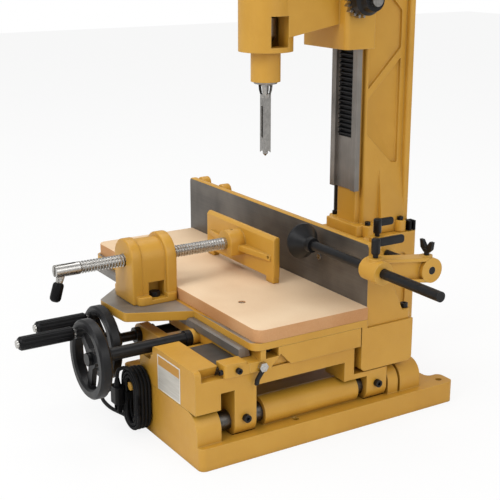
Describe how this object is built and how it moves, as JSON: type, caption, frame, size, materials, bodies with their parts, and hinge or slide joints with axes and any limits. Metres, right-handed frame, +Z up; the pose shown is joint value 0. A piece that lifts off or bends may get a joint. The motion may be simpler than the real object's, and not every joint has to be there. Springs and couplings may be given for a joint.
{
  "type": "benchtop hollow-chisel mortiser",
  "caption": "Tilting-table hollow-chisel mortiser: rack-driven head on a column above a handwheel cross-slide table with fence, screw vise and swing-out end stop.",
  "frame": {"origin": "centre of the base's bounding rectangle on its bottom face", "axes": "+Z up; +X to the operator's right, along the fence; +Y to the rear, towards the column"},
  "size_m": [0.757, 0.7343, 0.9564],
  "materials": {
    "casting_paint": "satin mustard gold enamel",
    "ground_iron": "ground, dark",
    "bright_steel": "turned, zinc bright",
    "tool_steel": "ground",
    "black_steel": "black oxide, satin",
    "black_plastic": "moulded, satin",
    "grip_vinyl": "dipped vinyl",
    "board_mdf": "pressed fibre board, plain",
    "plate_label": "bare rating plate",
    "cord_rubber": "cord sheath"
  },
  "bodies": {
    "base": {"base_casting": "casting_paint", "hinge_shaft": "bright_steel", "rest_screws": "black_steel", "column": "casting_paint", "column_way": "ground_iron", "lift_rack": "black_steel", "column_bolts": "black_steel", "key_clip": "black_steel", "gas_cylinder": "black_steel", "cord_hank": "cord_rubber", "cord_lead": "cord_rubber", "cord_gland": "black_plastic", "plug": "black_plastic"},
    "cradle": {"cradle": "casting_paint", "rating_plate": "plate_label", "tilt_clamps": "black_steel"},
    "y_feed": {"y_screw": "black_steel", "y_wheel": "black_steel", "y_spindle": "bright_steel"},
    "y_grip": {"y_grip": "grip_vinyl"},
    "saddle": {"saddle": "casting_paint", "gib": "casting_paint", "gib_screws": "bright_steel", "y_nut": "casting_paint"},
    "x_feed": {"x_shaft": "black_steel", "x_wheel": "black_steel", "x_spindle": "bright_steel"},
    "x_grip": {"x_grip": "grip_vinyl"},
    "table": {"table": "casting_paint", "way_bar": "ground_iron", "table_rack": "black_steel", "board": "board_mdf", "board_screws": "bright_steel", "fence": "ground_iron", "fence_screws": "black_steel", "stop_bracket": "casting_paint", "stop_pin": "black_steel", "vise_body": "casting_paint", "vise_bolts": "black_steel"},
    "upper_lever": {"upper_lever": "black_plastic"},
    "stop_arm": {"stop_arm": "casting_paint"},
    "thumb_screw": {"thumb_screw": "black_steel"},
    "lower_lever": {"lower_lever": "black_plastic"},
    "stop_rod": {"stop_rod": "black_steel", "stop_cup": "black_steel"},
    "jaw": {"jaw": "casting_paint"},
    "vise_screw": {"vise_screw": "bright_steel"},
    "vise_handle": {"vise_handle": "bright_steel", "vise_grip": "grip_vinyl"},
    "head": {"head_casting": "casting_paint", "motor": "black_steel", "switch_box": "black_plastic", "chisel": "tool_steel", "gas_rod": "bright_steel"},
    "switch_paddle": {"switch_paddle": "black_plastic"},
    "spindle": {"spindle": "tool_steel"},
    "feed_shaft": {"feed_shaft": "tool_steel"},
    "feed_lever": {"feed_lever": "black_steel", "feed_knob": "black_plastic"}
  },
  "joints": [
    {"name": "tilt", "type": "hinge", "parent": "base", "child": "cradle", "pos_m": [0.204, 0, 0.0525], "axis": [0, 1, 0], "range_deg": [0, 35]},
    {"name": "y_slide", "type": "slide", "parent": "cradle", "child": "saddle", "axis": [0, 1, 0], "range_m": [0, 0.029]},
    {"name": "y_turn", "type": "hinge", "parent": "cradle", "child": "y_feed", "pos_m": [-0.043, -0.25, 0.1098], "axis": [0, 1, 0], "range_deg": [-2620, 10]},
    {"name": "y_grip_spin", "type": "hinge", "parent": "y_feed", "child": "y_grip", "pos_m": [-0.07793, -0.34, 0.14125], "axis": [0, 1, 0], "continuous": true},
    {"name": "x_slide", "type": "slide", "parent": "saddle", "child": "table", "axis": [-1, 0, 0], "range_m": [-0.08, 0.13]},
    {"name": "x_turn", "type": "hinge", "parent": "saddle", "child": "x_feed", "pos_m": [0.0764, -0.3, 0.137], "axis": [0, 1, 0], "range_deg": [-625, 385]},
    {"name": "x_grip_spin", "type": "hinge", "parent": "x_feed", "child": "x_grip", "pos_m": [0.04147, -0.41, 0.16845], "axis": [0, 1, 0], "continuous": true},
    {"name": "jaw_slide", "type": "slide", "parent": "table", "child": "jaw", "axis": [0, -1, 0], "range_m": [-0.045, 0.098]},
    {"name": "vise_turn", "type": "hinge", "parent": "jaw", "child": "vise_screw", "pos_m": [-0.0435, -0.2, 0.24], "axis": [0, 1, 0], "range_deg": [-7060, 3245]},
    {"name": "handle_fold", "type": "hinge", "parent": "vise_screw", "child": "vise_handle", "pos_m": [-0.0435, -0.353, 0.24], "axis": [1, 0, 0], "range_deg": [-80, 20]},
    {"name": "upper_lever_turn", "type": "hinge", "parent": "table", "child": "upper_lever", "pos_m": [0.168, 0.094, 0.28], "axis": [0, 0, 1], "range_deg": [-50, 50]},
    {"name": "stop_swing", "type": "hinge", "parent": "table", "child": "stop_arm", "pos_m": [0.286, 0.094, 0.257], "axis": [-1, 0, 0], "range_deg": [0, 110]},
    {"name": "thumb_turn", "type": "hinge", "parent": "stop_arm", "child": "thumb_screw", "pos_m": [0.286, 0.094, 0.28], "axis": [0, 0, 1], "range_deg": [-180, 180]},
    {"name": "lower_lever_turn", "type": "hinge", "parent": "stop_arm", "child": "lower_lever", "pos_m": [0.292, -0.008, 0.3], "axis": [0, 0, 1], "range_deg": [-60, 60]},
    {"name": "rod_slide", "type": "slide", "parent": "stop_arm", "child": "stop_rod", "axis": [1, 0, 0], "range_m": [-0.035, 0.13]},
    {"name": "head_slide", "type": "slide", "parent": "base", "child": "head", "axis": [0, 0, 1], "range_m": [-0.19, 0], "stiffness_N_per_m": 500, "springref_m": 0.9},
    {"name": "feed_turn", "type": "hinge", "parent": "head", "child": "feed_shaft", "pos_m": [0, 0.1245, 0.64], "axis": [1, 0, 0], "range_deg": [-2, 366]},
    {"name": "lever_turn", "type": "hinge", "parent": "head", "child": "feed_lever", "pos_m": [0, 0.1245, 0.64], "axis": [1, 0, 0], "range_deg": [0, 85]},
    {"name": "spindle_spin", "type": "hinge", "parent": "head", "child": "spindle", "pos_m": [0, -0.009, 0.6], "axis": [0, 0, 1], "continuous": true},
    {"name": "paddle_rock", "type": "hinge", "parent": "head", "child": "switch_paddle", "pos_m": [-0.0834, 0.122, 0.698], "axis": [0, 1, 0], "range_deg": [0, 6]}
  ],
  "couplings": [
    {"joint": "y_turn", "follows": "y_slide", "rad_per_m": -1570.8},
    {"joint": "x_turn", "follows": "x_slide", "rad_per_m": -83.333},
    {"joint": "vise_turn", "follows": "jaw_slide", "rad_per_m": -1256.6},
    {"joint": "feed_turn", "follows": "head_slide", "rad_per_m": -33.333}
  ]
}
